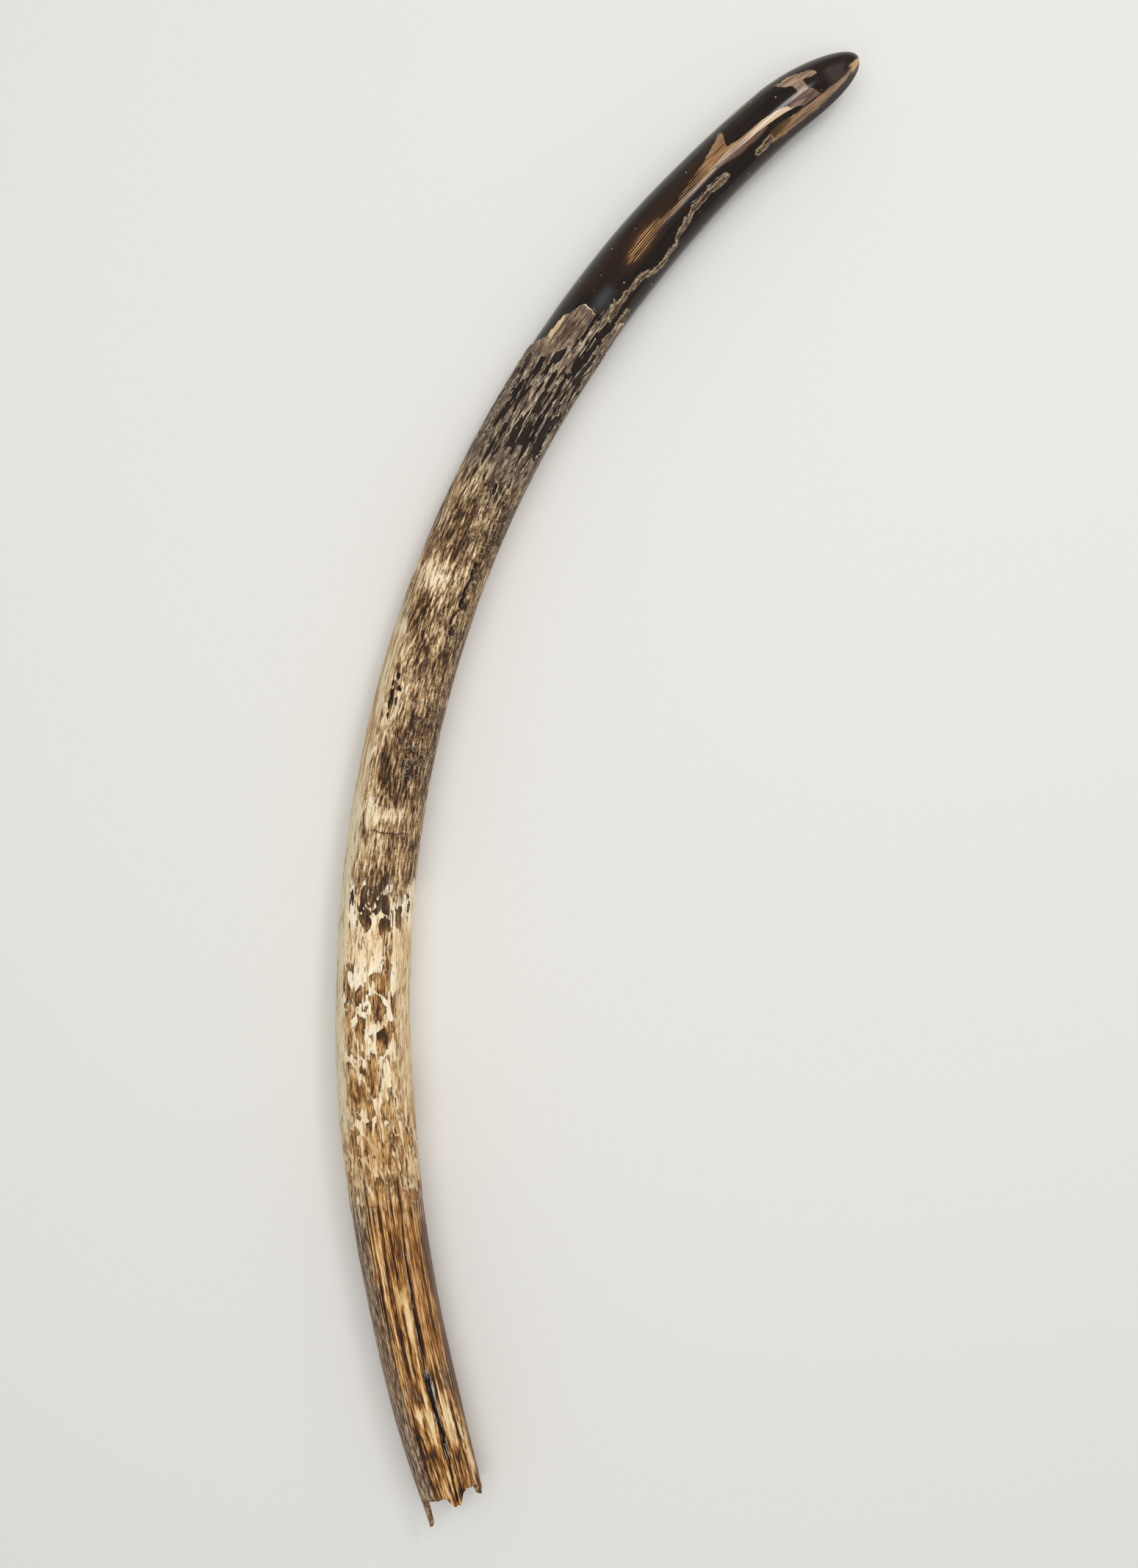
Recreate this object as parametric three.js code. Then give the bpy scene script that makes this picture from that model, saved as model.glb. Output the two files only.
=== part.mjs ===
// Fossil mastodon tusk, lying on its side.
//
// The tusk is one grown piece: a long, slender, gently tapering horn of dentine that bows to one
// side, sheathed in a thin bark of cementum. Its root end is broken off and shows the mouth of the
// pulp cavity. A long drying crack runs up from the break, the bark is pitted and flaky towards the
// tip and ends there in a ragged ledge, and the bare, polished tip has a flat worn by use.
//
// Millimetres, +Z up. The tusk lies on the plane z = 0 with its tip towards +Y and its bow towards -X.
import * as THREE from 'three';

// ---- Length and bow ----
// Heading of the centreline in plan, counted from +X, as a cubic in metres from the broken root.
const LENGTH = 1424;
const ROOT_HEADING_DEG = 106.7;
const BEND_DEG = [-25.0, -33.9, 11.7];
const ROOT_X = -127.9;
const ROOT_Y = -629.3;

// The last part of the tusk leaves the ground and lifts its tip.
const LIFT_START = 1040;
const TIP_LIFT = 11;

// ---- Girth: distance from the root, radius over the dentine ----
const GIRTH = [
  [0, 25.6], [35, 27.0], [75, 28.5], [180, 29.3], [300, 30.7], [372, 31.7], [460, 31.2],
  [600, 30.6], [740, 30.4], [880, 29.6], [1000, 28.7], [1110, 28.9], [1180, 28.4],
  [1250, 26.6], [1330, 25.2], [1424, 23.0],
];
const BARK_THICKNESS = 1.4;
const TIP_ROUNDING = 92;
const TIP_BLUNTNESS = 2.4;
const TIP_LEAN = 5;
const SECTION_DEPTH = 0.97;
const GROUND_FLAT = 0.45;

// ---- Broken root: [angle, half width, reach], positive reach is a tongue, negative a notch ----
const ROOT_BREAK = [
  [60, 40, -11], [20, 40, -11], [-20, 40, -11], [-60, 40, -11],
  [66, 9, 26], [85, 14, -12], [-8, 11, 10], [-20, 11, 10], [-42, 8, -2], [-75, 11, 8],
  [-115, 20, -5], [-150, 16, 3], [170, 14, -5], [132, 18, 5],
];
const BREAK_FADE = 70;
const RIM_WALL = 4.6;
const RIM_CHAMFER = 1.6;
const CAVITY_DEPTH = 255;
const CAVITY_POINT = 2.2;

// ---- Bark ledge: [angle, half width, reach] beyond or short of its mean distance ----
const LEDGE_AT = 1072;
const LEDGE_RUN = 2.5;
const BARK_TONGUES = [
  [75, 30, -24], [28, 20, 26], [2, 9, -30], [-20, 9, 28], [-40, 9, -14], [-62, 12, 36],
  [-92, 18, -30], [-130, 14, 30], [172, 24, -22], [128, 16, 18],
];

// ---- Ribbons of bark left on the bare tip: start, end, start angle, end angle, half width ----
const RIBBONS = [
  [1085, 1190, -30, -39, 9],
  [1175, 1275, -38, -24, 9],
  [1298, 1324, -29, -31, 9],
  [1090, 1165, -131, -124, 10],
];
const RIBBON_HEIGHT = 1.5;
const RIBBON_END = 5;

// ---- Long drying crack: starts at the break and wanders sideways ----
const CRACK = { length: 255, depth: 2.6, halfWidth: 6, startAngle: -17, endAngle: -27 };

// ---- Flutes that run along the bark ----
const FLUTE_COUNT = 9;
const FLUTE_DEPTH = 0.55;

// ---- Flaking: from, to, depth, flake length and flakes around, for each stretch of bark ----
const FLAKING = [
  [60, 380, 0.5, 90, 20],
  [330, 600, 0.8, 46, 14],
  [560, 860, 0.7, 52, 12],
  [800, 1120, 1.7, 24, 18],
];
const FLAKING_FADE = 50;

// ---- Single pits and gaps in the bark: distance, angle, half length, half width, depth ----
const PITS = [
  [540, 14, 10, 9, 0.9], [552, -22, 12, 7, 0.8], [716, 33, 14, 9, 1.3], [700, 40, 9, 7, 0.9],
  [800, -27, 24, 5, 1.1], [850, -29, 26, 5, 1.1], [915, -8, 14, 8, 1.0], [963, -6, 19, 14, 1.9],
  [985, 17, 17, 7, 1.3], [1010, -30, 20, 7, 1.3], [1030, 24, 14, 7, 1.1], [1045, -12, 26, 6, 1.4],
  [620, 120, 20, 12, 1.0], [900, 150, 26, 10, 1.2], [760, -120, 22, 10, 1.1], [1000, -95, 24, 9, 1.2],
  [430, 165, 18, 12, 0.8], [330, -130, 24, 9, 0.8],
];

// ---- Flat worn by use on the inner side of the tip ----
const WEAR_FLAT = { start: 1300, angle: -64, cut: 0.12 };

// ---- Mesh density ----
const AROUND = 48;
const BARK_ROWS = [[0, 70, 5], [70, 800, 25], [800, LEDGE_AT, 29]];
const TIP_ROWS = 27;
const CAVITY_ROWS = 7;

const rad = THREE.MathUtils.degToRad;
const { clamp, lerp, smoothstep } = THREE.MathUtils;

// Smallest turn between two directions around the tusk, in degrees.
const turnBetween = (a, b) => Math.abs(((a - b + 540) % 360) - 180);

// Smooth bump of height 1 at the middle and 0 from the given distance on.
const bump = (distance, halfWidth) => 1 - smoothstep(Math.abs(distance), 0, halfWidth);

// Repeatable value between -1 and 1 for each cell of a lattice.
function cellValue(row, column) {
  const mixed = Math.sin(row * 127.1 + column * 311.7) * 43758.5453;
  return 2 * (mixed - Math.floor(mixed)) - 1;
}

// Smooth noise over the bark, drawn out along the grain and closed around the tusk.
function barkNoise(distance, angle, cellLength, cellsAround) {
  const along = distance / cellLength;
  const around = (((angle + 720) % 360) / 360) * cellsAround;
  const row = Math.floor(along);
  const column = Math.floor(around);
  const u = smoothstep(along - row, 0, 1);
  const v = smoothstep(around - column, 0, 1);
  const next = (column + 1) % cellsAround;
  const near = lerp(cellValue(row, column), cellValue(row, next), v);
  const far = lerp(cellValue(row + 1, column), cellValue(row + 1, next), v);
  return lerp(near, far, u);
}

// Sum of the tongues and notches of a ragged edge in one direction around the tusk.
function raggedReach(edge, angle) {
  let reach = 0;
  for (const [at, halfWidth, amount] of edge) {
    reach += amount * bump(turnBetween(angle, at), halfWidth);
  }
  return reach;
}

// ---- Centreline ----
function headingAt(distance) {
  const m = distance / 1000;
  return rad(ROOT_HEADING_DEG + BEND_DEG[0] * m + BEND_DEG[1] * m * m + BEND_DEG[2] * m * m * m);
}

// The plan position is the running sum of short straight steps along the heading.
const PLAN_STEP = 2;
const PLAN_LEAD = 60;
const plan = [];
{
  let x = ROOT_X - PLAN_LEAD * Math.cos(headingAt(0));
  let y = ROOT_Y - PLAN_LEAD * Math.sin(headingAt(0));
  for (let s = -PLAN_LEAD; s <= LENGTH + PLAN_LEAD; s += PLAN_STEP) {
    plan.push([x, y]);
    const heading = headingAt(Math.max(0, s + PLAN_STEP / 2));
    x += PLAN_STEP * Math.cos(heading);
    y += PLAN_STEP * Math.sin(heading);
  }
}

function planAt(distance) {
  const place = clamp((distance + PLAN_LEAD) / PLAN_STEP, 0, plan.length - 1.001);
  const i = Math.floor(place);
  return [lerp(plan[i][0], plan[i + 1][0], place - i), lerp(plan[i][1], plan[i + 1][1], place - i)];
}

// ---- Girth ----
const girthCurve = new THREE.SplineCurve(GIRTH.map(([s, r]) => new THREE.Vector2(s, r)));
const girthSamples = girthCurve.getPoints(GIRTH.length * 24);

function dentineRadius(distance) {
  const s = clamp(distance, GIRTH[0][0], LENGTH);
  const i = Math.max(1, girthSamples.findIndex((p) => p.x >= s));
  const a = girthSamples[i - 1];
  const b = girthSamples[i];
  return lerp(a.y, b.y, clamp((s - a.x) / (b.x - a.x), 0, 1));
}

// The tip closes like a blunt ellipsoid.
function tipClosing(distance) {
  const t = clamp((distance - (LENGTH - TIP_ROUNDING)) / TIP_ROUNDING, 0, 1);
  return Math.sqrt(Math.max(0, 1 - t ** TIP_BLUNTNESS));
}

const liftAt = (distance) => TIP_LIFT * smoothstep(distance, LIFT_START, LENGTH);
const leanAt = (distance) => TIP_LEAN * smoothstep(distance, LENGTH - TIP_ROUNDING, LENGTH);
const axisHeight = (distance) => {
  const bark = BARK_THICKNESS * (1 - smoothstep(distance, LEDGE_AT, LEDGE_AT + 60));
  return (dentineRadius(Math.min(distance, LENGTH - TIP_ROUNDING)) + bark) * SECTION_DEPTH + liftAt(distance);
};

// ---- Outer surface ----
const ledgeDistance = (angle) => LEDGE_AT + raggedReach(BARK_TONGUES, angle);

function crackAngle(distance) {
  return lerp(CRACK.startAngle, CRACK.endAngle, clamp(distance / CRACK.length, 0, 1));
}

function crackDepth(distance, angle) {
  const open = 1 - smoothstep(distance, CRACK.length * 0.55, CRACK.length);
  return CRACK.depth * open * bump(turnBetween(angle, crackAngle(distance)), CRACK.halfWidth);
}

function barkRelief(distance, angle) {
  const wander = 14 * Math.sin(distance / 210);
  let relief = FLUTE_DEPTH * Math.cos(rad((angle + wander) * FLUTE_COUNT));
  for (const [from, to, depth, length, around] of FLAKING) {
    const begun = smoothstep(distance, from - FLAKING_FADE, from + FLAKING_FADE);
    const ended = smoothstep(distance, to - FLAKING_FADE, to + FLAKING_FADE);
    const coarse = barkNoise(distance, angle, length, around);
    const fine = barkNoise(distance + LENGTH, angle, length * 0.6, around * 1.5);
    relief -= depth * begun * (1 - ended) * clamp(0.3 + 0.9 * coarse + 0.5 * fine, 0, 1);
  }
  return relief;
}

function pitDepth(distance, angle) {
  let depth = 0;
  for (const [at, pitAngle, halfLength, halfWidth, full] of PITS) {
    depth += full * bump(distance - at, halfLength) * bump(turnBetween(angle, pitAngle), halfWidth);
  }
  return depth;
}

function ribbonHeight(distance, angle) {
  let height = 0;
  for (const [from, to, startAngle, endAngle, halfWidth] of RIBBONS) {
    const path = lerp(startAngle, endAngle, clamp((distance - from) / (to - from), 0, 1));
    const begun = smoothstep(distance, from - RIBBON_END, from + RIBBON_END);
    const ended = smoothstep(distance, to - RIBBON_END, to + RIBBON_END);
    height = Math.max(height, RIBBON_HEIGHT * begun * (1 - ended) * bump(turnBetween(angle, path), halfWidth));
  }
  return height;
}

function barkRadius(distance, angle) {
  const bark = BARK_THICKNESS + barkRelief(distance, angle) - pitDepth(distance, angle);
  return dentineRadius(distance) + bark - crackDepth(distance, angle);
}

// The bare tip is smooth but for the ribbons, and its inner side is worn flat.
function bareRadius(distance, angle) {
  const radius = dentineRadius(distance) + ribbonHeight(distance, angle);
  const turn = turnBetween(angle, WEAR_FLAT.angle);
  const cut = WEAR_FLAT.cut * smoothstep(distance, WEAR_FLAT.start, LENGTH - 10);
  const flat = turn < 80 ? (dentineRadius(distance) * (1 - cut)) / Math.cos(rad(turn)) : Infinity;
  return Math.min(radius, flat);
}

// A point of the section at a distance along the tusk. Angle 0 is on top, 90 on the bowed side.
function sectionPoint(distance, angle, radius, target) {
  const [x, y] = planAt(distance);
  const heading = headingAt(clamp(distance, 0, LENGTH));
  const side = radius * Math.sin(rad(angle)) - leanAt(distance);
  const height = axisHeight(distance) + radius * Math.cos(rad(angle)) * SECTION_DEPTH;
  return target.set(x - side * Math.sin(heading), y + side * Math.cos(heading), height);
}

// ---- Rows of points, from the inner end of the cavity, over the rim and along to the tip ----
const positions = [];
const triangles = [];
const angleOf = (column) => (column / AROUND) * 360 - 180;

function addPoint(distance, angle, radius) {
  const point = sectionPoint(distance, angle, radius, new THREE.Vector3());
  const height = point.z < GROUND_FLAT ? 0 : point.z;
  positions.push(point.x, point.y, height);
  return positions.length / 3 - 1;
}

function joinRows(first, second) {
  for (let column = 0; column < AROUND; column++) {
    const next = (column + 1) % AROUND;
    triangles.push(first[column], second[column], first[next]);
    triangles.push(first[next], second[column], second[next]);
  }
}

const columns = Array.from({ length: AROUND }, (_, column) => column);
const rimReach = (angle) => -raggedReach(ROOT_BREAK, angle);

function cavityRow(row) {
  const t = row / CAVITY_ROWS;
  return columns.map((column) => {
    const angle = angleOf(column);
    const rim = rimReach(angle) * 0.9 + RIM_CHAMFER;
    const distance = lerp(CAVITY_DEPTH, rim, t);
    const mouth = dentineRadius(0) + BARK_THICKNESS - RIM_WALL;
    const radius = mouth * (1 - (1 - t) ** CAVITY_POINT) ** 0.85 + 0.3 * Math.cos(rad(angle * 5));
    return addPoint(distance, angle, radius);
  });
}

function barkRow(mean) {
  return columns.map((column) => {
    const angle = angleOf(column);
    const rim = rimReach(angle) * Math.max(0, 1 - mean / BREAK_FADE);
    const ledge = (ledgeDistance(angle) - LEDGE_AT) * (mean / LEDGE_AT) ** 8;
    const distance = mean + rim + ledge;
    return addPoint(distance, angle, barkRadius(distance, angle));
  });
}

function tipRow(row) {
  return columns.map((column) => {
    const angle = angleOf(column);
    const share = Math.sin((row / (TIP_ROWS + 1)) * (Math.PI / 2)) ** 0.9;
    const distance = lerp(ledgeDistance(angle) + LEDGE_RUN, LENGTH, share);
    return addPoint(distance, angle, bareRadius(distance, angle) * tipClosing(distance));
  });
}

const rows = [];
for (let row = 1; row <= CAVITY_ROWS; row++) {
  rows.push(cavityRow(row));
}
rows.push(barkRow(0));
for (const [from, to, count] of BARK_ROWS) {
  for (let row = 1; row <= count; row++) {
    rows.push(barkRow(lerp(from, to, row / count)));
  }
}
for (let row = 0; row <= TIP_ROWS; row++) {
  rows.push(tipRow(row));
}
for (let i = 1; i < rows.length; i++) {
  joinRows(rows[i - 1], rows[i]);
}

// The cavity ends in a point inside the tusk, and the tip closes on one point outside.
const cavityEnd = addPoint(CAVITY_DEPTH, 0, 0);
const tipEnd = addPoint(LENGTH, 0, 0);
for (const column of columns) {
  const next = (column + 1) % AROUND;
  triangles.push(cavityEnd, rows[0][column], rows[0][next]);
  triangles.push(tipEnd, rows.at(-1)[next], rows.at(-1)[column]);
}

const geometry = new THREE.BufferGeometry();
geometry.setAttribute('position', new THREE.Float32BufferAttribute(positions, 3));
geometry.setIndex(triangles);
geometry.computeVertexNormals();

const ivory = new THREE.MeshStandardMaterial({ color: 0x8f7350, roughness: 0.45, metalness: 0 });
const tusk = new THREE.Mesh(geometry, ivory);
tusk.name = 'tusk';

const group = new THREE.Group();
group.add(tusk);

export default group;
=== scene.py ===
import bpy
import math
import numpy as np
from functools import reduce
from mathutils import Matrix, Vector


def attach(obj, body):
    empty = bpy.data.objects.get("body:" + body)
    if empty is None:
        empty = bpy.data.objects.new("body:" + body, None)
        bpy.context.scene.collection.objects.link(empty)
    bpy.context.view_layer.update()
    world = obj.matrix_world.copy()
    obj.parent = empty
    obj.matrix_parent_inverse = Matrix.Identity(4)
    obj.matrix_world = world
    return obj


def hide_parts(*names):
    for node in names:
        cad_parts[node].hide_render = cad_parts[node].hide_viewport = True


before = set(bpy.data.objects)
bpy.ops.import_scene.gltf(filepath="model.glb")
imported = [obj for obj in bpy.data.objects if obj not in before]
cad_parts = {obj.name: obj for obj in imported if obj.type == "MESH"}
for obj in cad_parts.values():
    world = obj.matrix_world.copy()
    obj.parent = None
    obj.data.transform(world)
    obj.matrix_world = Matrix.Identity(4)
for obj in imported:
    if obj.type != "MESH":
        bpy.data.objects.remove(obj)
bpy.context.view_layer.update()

# ======== The tusk ========
# One grown piece of dentine in a thin bark of cementum, dug up, cleaned and waxed. The root is broken off
# and hollow, the bark has split, stained and flaked, and the tip is bare, dark and polished with a flat
# that the animal wore on it. It lies on its side.

# Length and bow, in millimetres and degrees, as on the solid.
LENGTH = 1424.0
ROOT_HEADING = 106.7
BEND = (-25.0, -33.9, 11.7)
ROOT_X, ROOT_Y = -127.9, -629.3
LIFT_START, TIP_LIFT = 1040.0, 11.0
TIP_ROUNDING, TIP_BLUNTNESS, TIP_LEAN = 92.0, 2.4, 5.0
SECTION_DEPTH = 0.97
GROUND_FLAT = 0.45

# Radius over the dentine at distances from the root.
GIRTH = [
    (0, 25.6), (35, 27.0), (75, 28.5), (180, 29.3), (300, 30.7), (372, 31.7), (460, 31.2), (600, 30.6),
    (740, 30.4), (880, 29.6), (1000, 28.7), (1110, 28.9), (1180, 28.4), (1250, 26.6), (1330, 25.2),
    (1424, 23.0),
]
BARK_THICKNESS = 1.4
LEDGE_AT, LEDGE_FADE = 1072.0, 60

# Broken root: angle, half width and reach of each tongue or notch.
ROOT_BREAK = [
    (60, 40, -11), (20, 40, -11), (-20, 40, -11), (-60, 40, -11),
    (66, 9, 26), (85, 14, -12), (-8, 11, 10), (-20, 11, 10), (-42, 8, -2), (-75, 11, 8),
    (-115, 20, -5), (-150, 16, 3), (170, 14, -5), (132, 18, 5),
]
BREAK_FADE = 70.0
RIM_WALL, RIM_CHAMFER = 4.6, 1.6
CAVITY_DEPTH, CAVITY_POINT = 255.0, 2.2

# Flat worn on the inner side of the tip.
WEAR_START, WEAR_ANGLE, WEAR_CUT = 1300.0, -64.0, 0.12

# Fine mesh: columns around, and rows as (from, to, step) along the outside.
AROUND = 144
ROW_STEPS = [
    (0, 60, 1.7), (60, 350, 4.0), (350, 560, 2.3), (560, 840, 2.6), (840, 1112, 1.6), (1112, 1330, 2.5),
    (1330, 1400, 1.5),
]
END_ROWS = 22
CAVITY_ROWS = 26
MM = 0.001


def smoothstep(x, low, high):
    t = np.clip((x - low) / (high - low), 0, 1)
    return t * t * (3 - 2 * t)


def turn_between(a, b):
    return np.abs((a - b + 540) % 360 - 180)


def heading_at(distance):
    m = np.clip(distance, 0, None) / 1000
    return np.radians(ROOT_HEADING + BEND[0] * m + BEND[1] * m ** 2 + BEND[2] * m ** 3)


# The bow drawn in plan by walking along it, a little past both ends.
plan_step, plan_spare = 1.0, 60
plan_s = np.arange(-plan_spare, LENGTH + plan_spare, plan_step)
plan_heading = heading_at(plan_s + plan_step / 2)
plan_x = np.concatenate(([0], np.cumsum(np.cos(plan_heading)[:-1]))) * plan_step
plan_y = np.concatenate(([0], np.cumsum(np.sin(plan_heading)[:-1]))) * plan_step
plan_x += ROOT_X - np.interp(0, plan_s, plan_x)
plan_y += ROOT_Y - np.interp(0, plan_s, plan_y)

girth_s = np.array([s for s, r in GIRTH], float)
girth_r = np.array([r for s, r in GIRTH], float)
girth_slope = np.gradient(girth_r, girth_s)


def dentine_radius(distance):
    s = np.clip(distance, 0, LENGTH)
    i = np.clip(np.searchsorted(girth_s, s, side="right") - 1, 0, len(girth_s) - 2)
    width = girth_s[i + 1] - girth_s[i]
    t = (s - girth_s[i]) / width
    a = girth_r[i] * (2 * t ** 3 - 3 * t ** 2 + 1) + girth_slope[i] * width * (t ** 3 - 2 * t ** 2 + t)
    b = girth_r[i + 1] * (3 * t ** 2 - 2 * t ** 3) + girth_slope[i + 1] * width * (t ** 3 - t ** 2)
    return a + b


def tip_closing(distance):
    t = np.clip((distance - (LENGTH - TIP_ROUNDING)) / TIP_ROUNDING, 0, 1)
    return np.sqrt(np.maximum(0, 1 - t ** TIP_BLUNTNESS))


def axis_height(distance):
    bark = BARK_THICKNESS * (1 - smoothstep(distance, LEDGE_AT, LEDGE_AT + LEDGE_FADE))
    lift = TIP_LIFT * smoothstep(distance, LIFT_START, LENGTH)
    return (dentine_radius(np.minimum(distance, LENGTH - TIP_ROUNDING)) + bark) * SECTION_DEPTH + lift


def root_reach(angle):
    """How far the broken rim reaches past its mean in each direction, with small splinters."""
    reach = sum(amount * (1 - smoothstep(turn_between(angle, at), 0, half))
                for at, half, amount in ROOT_BREAK)
    fine_splinters = 0.7 * np.sin(np.radians(angle * 41)) * np.sin(np.radians(angle * 5))
    splinters = np.sin(np.radians(angle * 23 + 40)) + fine_splinters
    return reach + 0.55 * splinters


def section_point(distance, angle, radius):
    """Places of a row of points around the tusk, and the way out from its axis at each."""
    x = np.interp(distance, plan_s, plan_x)
    y = np.interp(distance, plan_s, plan_y)
    heading = heading_at(np.clip(distance, 0, LENGTH))
    sine, cosine = np.sin(np.radians(angle)), np.cos(np.radians(angle))
    side = radius * sine - TIP_LEAN * smoothstep(distance, LENGTH - TIP_ROUNDING, LENGTH)
    place = np.stack([x - side * np.sin(heading), y + side * np.cos(heading),
                      axis_height(distance) + radius * cosine * SECTION_DEPTH], axis=-1)
    outward = np.stack([-sine * np.sin(heading), sine * np.cos(heading), cosine], axis=-1)
    return place, outward


angles = np.arange(AROUND) / AROUND * 360 - 180
rows = []       # each row: distances, radii, how much of the relief it takes


def outer_row(mean):
    reach = -root_reach(angles) * max(0.0, 1 - mean / BREAK_FADE)
    distance = mean + reach
    turn = turn_between(angles, WEAR_ANGLE)
    cut = WEAR_CUT * smoothstep(distance, WEAR_START, LENGTH - 10)
    radius = dentine_radius(distance)
    flat = np.where(turn < 80, radius * (1 - cut) / np.cos(np.radians(np.minimum(turn, 80))), np.inf)
    radius = np.where(distance > WEAR_START - 20, np.minimum(radius, flat), radius) * tip_closing(distance)
    return distance, radius


for row in range(1, CAVITY_ROWS + 1):
    t = row / CAVITY_ROWS
    rim = -root_reach(angles) * 0.9 + RIM_CHAMFER
    distance = CAVITY_DEPTH + (rim - CAVITY_DEPTH) * t ** 0.8
    depth_share = (CAVITY_DEPTH - distance) / (CAVITY_DEPTH - rim)
    mouth = dentine_radius(0) + BARK_THICKNESS - RIM_WALL
    radius = mouth * (1 - (1 - depth_share) ** CAVITY_POINT) ** 0.85 + 0.3 * np.cos(np.radians(angles * 5))
    rows.append((distance, radius, 0.0))
rim_distance, rim_radius = outer_row(0)
rows.append((rim_distance + 0.2, rim_radius + BARK_THICKNESS - RIM_WALL * 0.55, 0.15))
outer_means = [0.0]
for start, end, step in ROW_STEPS:
    count = max(1, round((end - start) / step))
    outer_means += [start + (end - start) * i / count for i in range(1, count + 1)]
last = ROW_STEPS[-1][1]
for row in range(1, END_ROWS + 1):
    outer_means.append(last + (LENGTH - last) * math.sin(row / (END_ROWS + 1) * math.pi / 2))
for mean in outer_means:
    rows.append((*outer_row(mean), 1.0))

points, outwards, grains, shares = [], [], [], []
for distance, radius, share in rows:
    place, outward = section_point(distance, angles, radius)
    points.append(place)
    outwards.append(outward)
    grain_radius = np.maximum(dentine_radius(distance), 1)
    grains.append(np.stack([distance, grain_radius * np.cos(np.radians(angles)),
                            grain_radius * np.sin(np.radians(angles))], axis=-1))
    shares.append(np.full(AROUND, share) if share < 1 else tip_closing(distance) ** 0.5)
cavity_end, _ = section_point(np.array([CAVITY_DEPTH]), np.array([0.0]), np.array([0.0]))
tip_end, tip_outward = section_point(np.array([LENGTH]), np.array([0.0]), np.array([0.0]))
points = np.concatenate([*points, cavity_end, tip_end])
outwards = np.concatenate([*outwards, tip_outward, tip_outward])
grains = np.concatenate([*grains, [[CAVITY_DEPTH, 0, 0]], [[LENGTH, 0, 0]]])
shares = np.concatenate([*shares, [0.0], [0.0]])
ROW_COUNT = len(rows)
cavity_index, tip_index = ROW_COUNT * AROUND, ROW_COUNT * AROUND + 1

column = np.arange(AROUND)
following = (column + 1) % AROUND
quads = []
for row in range(ROW_COUNT - 1):
    a, b = row * AROUND, (row + 1) * AROUND
    quads.append(np.stack([a + column, b + column, b + following, a + following], axis=-1))
quads = np.concatenate(quads)
start_cap = np.stack([np.full(AROUND, cavity_index), column, following], axis=-1)
end_row = (ROW_COUNT - 1) * AROUND
end_cap = np.stack([np.full(AROUND, tip_index), end_row + following, end_row + column], axis=-1)

tusk_mesh = bpy.data.meshes.new("tusk_surface")
tusk_mesh.from_pydata((points * MM).tolist(), [], quads.tolist() + start_cap.tolist() + end_cap.tolist())
for name, values in (("grain", grains), ("outward", outwards)):
    layer = tusk_mesh.attributes.new(name, "FLOAT_VECTOR", "POINT")
    layer.data.foreach_set("vector", values.astype(np.float32).ravel())
row_of_point = np.minimum(np.arange(len(points)) // AROUND, ROW_COUNT)
hollow = (row_of_point < CAVITY_ROWS) | (np.arange(len(points)) == cavity_index)
wall = np.isin(row_of_point, (CAVITY_ROWS - 1, CAVITY_ROWS))
for name, values in (("relief_share", shares), ("hollow", hollow), ("wall", wall)):
    layer = tusk_mesh.attributes.new(name, "FLOAT", "POINT")
    layer.data.foreach_set("value", values.astype(np.float32))

# The map for the baked finish cuts the unrolled outside into bands, laid side by side across the square,
# and gives the hollow root the strip along its top.
BANDS_ACROSS, BANDS_UP = 3, 2
CAVITY_STRIP = 0.06
BAND_GAP = 0.004
first_outer = CAVITY_ROWS + 1
band_count = BANDS_ACROSS * BANDS_UP
row_mean = np.concatenate([np.zeros(first_outer), np.array(outer_means)])
band_length = LENGTH / band_count
uv_layer = tusk_mesh.uv_layers.new(name="OFBake")
loop_vertex = np.empty(len(tusk_mesh.loops), np.int32)
tusk_mesh.loops.foreach_get("vertex_index", loop_vertex)
face_of_loop = np.repeat(np.arange(len(tusk_mesh.polygons)), [len(p.vertices) for p in tusk_mesh.polygons])
quad_count = len(quads)
quad_row = np.minimum(face_of_loop // AROUND, ROW_COUNT)
quad_column = face_of_loop % AROUND
vertex_row = np.minimum(loop_vertex // AROUND, ROW_COUNT)
vertex_column = loop_vertex % AROUND
is_tip_cap = face_of_loop >= quad_count + AROUND
is_start_cap = (face_of_loop >= quad_count) & ~is_tip_cap
quad_row = np.where(is_tip_cap, ROW_COUNT - 1, np.where(is_start_cap, 0, quad_row))
is_pole = loop_vertex >= cavity_index
vertex_column = np.where(is_pole, quad_column, vertex_column)
turn_share = vertex_column / AROUND
turn_share = np.where((vertex_column == 0) & (quad_column == AROUND - 1), 1.0, turn_share)
turn_share = np.where(is_pole, (quad_column + 0.5) / AROUND, turn_share)
mean_table = np.concatenate([row_mean, [LENGTH]])
mean_here = np.where(is_tip_cap & is_pole, LENGTH, mean_table[np.minimum(vertex_row, ROW_COUNT)])
inside = quad_row < first_outer
band = np.clip((mean_table[np.minimum(quad_row, ROW_COUNT)] // band_length).astype(int), 0, band_count - 1)
cell_w, cell_h = 1 / BANDS_ACROSS, (1 - CAVITY_STRIP) / BANDS_UP
along_share = (mean_here - band * band_length) / (band_length * 1.02) + 0.005
u_out = (band % BANDS_ACROSS + BAND_GAP + (1 - 2 * BAND_GAP) * along_share) * cell_w
v_out = (band // BANDS_ACROSS + BAND_GAP + (1 - 2 * BAND_GAP) * turn_share) * cell_h
cavity_along = np.where(is_start_cap & is_pole, 0.0, (vertex_row + 1) / (first_outer + 1))
u_in = BAND_GAP / 2 + (1 - BAND_GAP) * turn_share
v_in = 1 - CAVITY_STRIP + BAND_GAP + (CAVITY_STRIP - 2 * BAND_GAP) * cavity_along
uv = np.stack([np.where(inside, u_in, u_out), np.where(inside, v_in, v_out)], axis=-1)
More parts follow.
